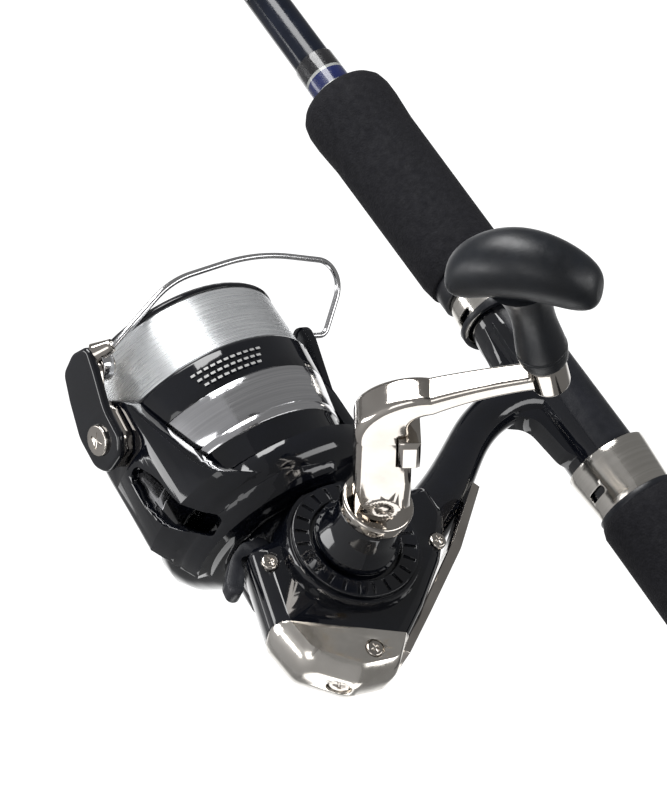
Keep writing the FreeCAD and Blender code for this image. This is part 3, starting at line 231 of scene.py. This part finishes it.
def wrap_finish():
    """Thread wraps under lacquer: silver and blue bands that follow each other along the rod."""
    finish = Finish("thread_wrap", Coat_Weight=1.0, Coat_Roughness=0.04)
    along = finish.node("ShaderNodeSeparateXYZ", Vector=finish.place).outputs["X"]
    share = finish.node("ShaderNodeMapRange", Value=along)
    share.inputs["From Min"].default_value = wrap_low.x
    share.inputs["From Max"].default_value = wrap_high.x
    bands = finish.tree.nodes.new("ShaderNodeValToRGB")
    bands.color_ramp.interpolation = "CONSTANT"
    silver = (0.34, 0.35, 0.34, 1)
    blue = (0.003, 0.010, 0.085, 1)
    black = (0.003, 0.003, 0.005, 1)
    order = ((0.0, black), (0.1, silver), (0.17, blue), (0.5, silver), (0.57, black))
    stops = bands.color_ramp.elements
    for number, (position, colour) in enumerate(order):
        stop = stops[number] if number < len(stops) else stops.new(position)
        stop.position = position
        stop.color = colour
    finish.tree.links.new(share.outputs["Result"], bands.inputs["Fac"])
    finish.tree.links.new(bands.outputs["Color"], finish.shader.inputs["Base Color"])
    finish.roughness(finish.noise(500), 0.2, 0.34)
    finish.relief(finish.lines(THREAD_PITCH), 0.00006, 0.5)
    return finish.material


# Scales of the brushed scratches along x, y and z, per metre
AROUND_ROD = (4200, 30, 30)
ALONG_ROD = (40, 1300, 1300)
ACROSS_CRANK = (220, 1500, 220)

FINISHES = {
    "gloss": gloss_finish("black_lacquer", (0.002, 0.0024, 0.004), (0.004, 0.0048, 0.008)),
    "satin": satin_finish("satin_black", (0.006, 0.007, 0.010), (0.013, 0.014, 0.019)),
    "soft": satin_finish("soft_touch",
                         (0.004, 0.005, 0.007), (0.008, 0.010, 0.014), (0.34, 0.44), 2600),
    "blank": satin_finish("dark_blank", (0.003, 0.005, 0.011), (0.007, 0.010, 0.020), (0.12, 0.2)),
    "nickel": plated_finish("warm_nickel", (0.50, 0.46, 0.42), (0.64, 0.60, 0.55), (0.06, 0.12)),
    "cap": plated_finish("cap_nickel", (0.78, 0.74, 0.68), (0.92, 0.88, 0.82), (0.16, 0.24)),
    "bright": plated_finish("bright_steel", (0.68, 0.68, 0.69), (0.80, 0.80, 0.81), (0.08, 0.16)),
    "gold": plated_finish("gold_plate", (0.66, 0.44, 0.12), (0.86, 0.62, 0.22), (0.12, 0.22)),
    "hood": brushed_finish("brushed_hood",
                           (0.66, 0.63, 0.58), (0.78, 0.75, 0.70), AROUND_ROD, (0.12, 0.2)),
    "turned": brushed_finish("turned_skirt",
                             (0.70, 0.70, 0.72), (0.88, 0.88, 0.90), AROUND_ROD, (0.08, 0.18)),
    "steel": brushed_finish("ground_steel", (0.42, 0.42, 0.43), (0.66, 0.66, 0.67), ALONG_ROD),
    "zinc": brushed_finish("cast_zinc",
                           (0.38, 0.38, 0.39), (0.55, 0.55, 0.56), ACROSS_CRANK, (0.34, 0.5)),
    "brass": brushed_finish("machined_brass", (0.50, 0.34, 0.12), (0.74, 0.54, 0.24), AROUND_ROD),
    "foam": foam_finish(),
    "rubber": rubber_finish(),
    "line": line_finish(),
    "wrap": wrap_finish(),
    "print": satin_finish("pale_print", (0.30, 0.30, 0.30), (0.46, 0.46, 0.45)),
}

FINISH_OF = {
    "gloss": ["reel_body", "side_cover", "boss_ring", "rotor", "spool", "spool_ring", "crank_collar",
              "bail_holder", "arm_cover"],
    "satin": ["seat_body", "hood_lip", "seat_ring", "grip_collar", "anti_reverse_lever"],
    "soft": ["handle_knob", "drag_knob", "line_clip"],
    "blank": ["blank_butt", "section_two", "section_three", "section_four"],
    "cap": ["rear_cap"],
    "nickel": ["back_strip", "case_screws", "hub_ring", "handle_arm", "hinge_ear", "hinge_pin",
               "bail_screws", "bail_arm", "fold_button"],
    "bright": ["bail_wire", "line_roller", "guide_one", "guide_two", "guide_three", "tip_top",
               "hook_keeper"],
    "gold": ["knob_spindle"],
    "hood": ["fixed_hood", "moving_hood"],
    "turned": ["spool_skirt"],
    "steel": ["main_shaft", "worm_shaft", "bail_spring", "crank_bearing", "pinion_bearing",
              "one_way_clutch", "drag_washers"],
    "zinc": ["drive_gear"],
    "brass": ["pinion", "pinion_bush", "rotor_nut", "crosshead"],
    "foam": ["rear_grip", "foregrip"],
    "rubber": ["butt_cap"],
    "line": ["wound_line"],
    "wrap": ["trim_wrap"],
}


EDGE_ANGLE = math.radians(32)
EDGE_WIDTH = 0.12 * MM
WELD_DISTANCE = 0.002 * MM


def dress_frame():
    """Gives every CAD node its finish and soft edges."""
    for finish, names in FINISH_OF.items():
        for name in names:
            piece = nodes[name]
            piece.data.materials.clear()
            piece.data.materials.append(FINISHES[finish])
            weld = piece.modifiers.new("weld", "WELD")
            weld.merge_threshold = WELD_DISTANCE
            soften_edges(piece)
    undressed = set(nodes) - {name for names in FINISH_OF.values() for name in names}
    if undressed:
        raise RuntimeError(f"no finish for {sorted(undressed)}")


def soften_edges(piece):
    """Shades the piece smooth and rounds each edge that turns by more than EDGE_ANGLE."""
    piece.data.shade_smooth()
    bevel = piece.modifiers.new("edge", "BEVEL")
    bevel.width = EDGE_WIDTH
    bevel.segments = 2
    bevel.limit_method = "ANGLE"
    bevel.angle_limit = EDGE_ANGLE
    bevel.harden_normals = True


# ---------------------------------------------------------------- pieces made here
LINE_STEPS = 144
LINE_PITCH = 0.32 * MM
LINE_RIDGE = 0.05 * MM
LINE_INSET = 0.15 * MM
LINE_SHOULDER = 0.1 * MM
LINE_THICKNESS = 1.5 * MM

MARK_ROWS = (9, 10, 11)
MARK_SHARES = (0.0, 0.22, 0.44, 0.66)
MARK_STEP = math.radians(3.6)
MARK_TURN = math.radians(24)
MARK_PITCH = 1.6 * MM
MARK_START = 1.4 * MM
MARK_WIDTH = 0.55 * MM
MARK_CLEARANCE = 0.95 * MM

COLLAR_STEPS = 96
COLLAR_RISE = 7.4 * MM
COLLAR_PROFILE = ((0.0, 4.0), (0.0, 4.45), (0.25, 4.6), (0.75, 4.6), (1.0, 4.45), (1.0, 4.0))


def new_piece(name, mesh, finish, body):
    """Adds a mesh to the scene as a piece that rides on a body."""
    piece = bpy.data.objects.new(name, mesh)
    bpy.context.scene.collection.objects.link(piece)
    mesh.materials.append(FINISHES[finish])
    mesh.shade_smooth()
    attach(piece, body)
    return piece


def turned_mesh(name, profile, centre, steps):
    """A closed profile of (distance along x, radius) turned about the line through centre along x."""
    mesh = bpy.data.meshes.new(name)
    made = bmesh.new()
    rings = []
    for step in range(steps):
        angle = 2 * math.pi * step / steps
        ring = []
        for x, radius in profile:
            y = centre.y + radius * math.cos(angle)
            z = centre.z + radius * math.sin(angle)
            ring.append(made.verts.new((x, y, z)))
        rings.append(ring)
    count = len(profile)
    for step in range(steps):
        this, after = rings[step], rings[(step + 1) % steps]
        for number in range(count):
            following = (number + 1) % count
            made.faces.new((this[number], this[following], after[following], after[number]))
    bmesh.ops.recalc_face_normals(made, faces=made.faces)
    made.to_mesh(mesh)
    made.free()
    return mesh


def build_wound_line():
    """The line on the spool: turns laid side by side, each a small ridge round the spool."""
    low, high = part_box("wound_line")
    radius = high.y - spool_line.y
    valley = radius - LINE_RIDGE
    flank = radius - LINE_RIDGE * 0.15
    shoulder = radius - LINE_RIDGE - LINE_SHOULDER
    inside = radius - LINE_THICKNESS
    ridges = int((high.x - low.x - 2 * LINE_INSET) / LINE_PITCH)
    profile = [(low.x, inside), (low.x, shoulder)]
    for ridge in range(ridges):
        at = low.x + LINE_INSET + ridge * LINE_PITCH
        profile += [(at, valley), (at + LINE_PITCH * 0.3, flank),
                    (at + LINE_PITCH * 0.5, radius), (at + LINE_PITCH * 0.7, flank)]
    profile += [(high.x, shoulder), (high.x, inside)]
    mesh = turned_mesh("laid_line", profile, spool_line, LINE_STEPS)
    piece = new_piece("laid_line", mesh, "line", "spool")
    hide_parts("wound_line")


def build_band_marks():
    """Three rows of plain printed dashes on the black band, where a spool has its line sizes."""
    low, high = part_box("spool_skirt")
    radius = high.y - spool_line.y + MARK_CLEARANCE
    facing = math.atan2(CAMERA_BACK.z, CAMERA_BACK.y) + MARK_TURN
    mesh = bpy.data.meshes.new("band_marks")
    made = bmesh.new()
    for row, count in enumerate(MARK_ROWS):
        x = high.x + MARK_START + row * MARK_PITCH
        for number in range(count):
            start = facing + (number - count / 2) * MARK_STEP
            edges = []
            for share in MARK_SHARES:
                angle = start + MARK_STEP * share
                out = Vector((0, math.cos(angle), math.sin(angle)))
                point = Vector((x, spool_line.y, spool_line.z)) + out * radius
                beside = point + Vector((MARK_WIDTH, 0, 0))
                edges.append((made.verts.new(point), made.verts.new(beside)))
            for this, after in zip(edges, edges[1:]):
                made.faces.new((this[0], this[1], after[1], after[0]))
    made.to_mesh(mesh)
    made.free()
    new_piece("band_marks", mesh, "print", "spool")


def build_knob_collar():
    """The thin bushing ring between the knob's post and the arm."""
    joint = next(j for j in frame["joints"] if j["name"] == "knob_turn")
    axis = Vector(joint["axis"]).normalized()
    profile = [(along * MM, radius * MM) for along, radius in COLLAR_PROFILE]
    mesh = turned_mesh("knob_collar", profile, Vector((0, 0, 0)), COLLAR_STEPS)
    turn = axis.to_track_quat("X", "Y").to_matrix().to_4x4()
    place = Vector(joint["pos_m"]) + axis * COLLAR_RISE
    mesh.transform(Matrix.Translation(place) @ turn)
    new_piece("knob_collar", mesh, "soft", "knob")


# ---------------------------------------------------------------- studio
FLOOR_DROP = 1.1
FLOOR_WIDTH = 9.0
BACKDROP_EDGE = 0.72
BACKDROP_FULL = 0.93
BACKDROP_BRIGHTNESS = 1.2
ROOM_BRIGHTNESS = 0.2
# name, direction from the reel (right, up and back as the camera sees it), distance, width, height, power
SOFTBOXES = (
    ("key", -0.3, 1.0, 0.4, 0.8, 0.7, 0.4, 8),
    ("fill", 1.0, 0.1, 0.5, 0.9, 0.25, 0.8, 2.2),
    ("side", -1.0, -0.1, 0.25, 0.8, 0.2, 0.8, 2.6),
    ("low", 0.02, -0.97, -0.25, 0.8, 0.6, 0.35, 1.2),
    ("front", -0.3, -0.2, 1.0, 1.1, 0.5, 0.5, 1.4),
)


def place_camera():
    """The camera at the angle the object is seen from."""
    data = bpy.data.cameras.new("camera")
    data.lens = CAMERA_LENS
    data.sensor_width = CAMERA_SENSOR
    data.clip_start = CAMERA_NEAREST
    camera = bpy.data.objects.new("camera", data)
    bpy.context.scene.collection.objects.link(camera)
    turn = Matrix((CAMERA_RIGHT, CAMERA_UP, CAMERA_BACK)).transposed()
    camera.matrix_world = Matrix.Translation(CAMERA_PLACE) @ turn.to_quaternion().to_matrix().to_4x4()
    bpy.context.scene.camera = camera


def softbox(name, side, up, back, distance, width, height, power):
    """A rectangular light that faces the reel from its place in SOFTBOXES."""
    away = (CAMERA_RIGHT * side + CAMERA_UP * up + CAMERA_BACK * back).normalized()
    data = bpy.data.lights.new(name, "AREA")
    data.shape = "RECTANGLE"
    data.size = width
    data.size_y = height
    data.energy = power
    light = bpy.data.objects.new(name, data)
    bpy.context.scene.collection.objects.link(light)
    light.location = spool_line + away * distance
    light.rotation_euler = away.to_track_quat("Z", "Y").to_euler()


def build_floor():
    """A plain pale floor well below the object."""
    mesh = bpy.data.meshes.new("floor")
    half = FLOOR_WIDTH / 2
    depth = cad_box[0][2] - FLOOR_DROP
    corners = [(-half, -half, depth), (half, -half, depth), (half, half, depth), (-half, half, depth)]
    mesh.from_pydata(corners, [], [(0, 1, 2, 3)])
    floor = bpy.data.objects.new("floor", mesh)
    bpy.context.scene.collection.objects.link(floor)
    paint = Finish("studio_floor")
    paint.colour(paint.noise(6), (0.78, 0.78, 0.79), (0.82, 0.82, 0.83))
    paint.roughness(paint.noise(20), 0.75, 0.85)
    mesh.materials.append(paint.material)


def build_room():
    """A dim room with a bright backdrop in the fixed direction that the camera faces."""
    world = bpy.data.worlds.new("studio")
    world.use_nodes = True
    bpy.context.scene.world = world
    tree = world.node_tree
    direction = tree.nodes.new("ShaderNodeTexCoord").outputs["Generated"]
    toward = tree.nodes.new("ShaderNodeVectorMath")
    toward.operation = "DOT_PRODUCT"
    toward.inputs[1].default_value = -CAMERA_BACK
    tree.links.new(direction, toward.inputs[0])
    fade = tree.nodes.new("ShaderNodeMapRange")
    fade.interpolation_type = "SMOOTHSTEP"
    fade.inputs["From Min"].default_value = BACKDROP_EDGE
    fade.inputs["From Max"].default_value = BACKDROP_FULL
    fade.inputs["To Min"].default_value = ROOM_BRIGHTNESS
    fade.inputs["To Max"].default_value = BACKDROP_BRIGHTNESS
    tree.links.new(toward.outputs["Value"], fade.inputs["Value"])
    tree.links.new(fade.outputs["Result"], tree.nodes["Background"].inputs["Color"])
    # The plain colour view keeps the bright backdrop white.
    bpy.context.scene.view_settings.view_transform = "Standard"


dress_frame()
build_wound_line()
build_band_marks()
build_knob_collar()
place_camera()
build_floor()
build_room()
for values in SOFTBOXES:
    softbox(*values)
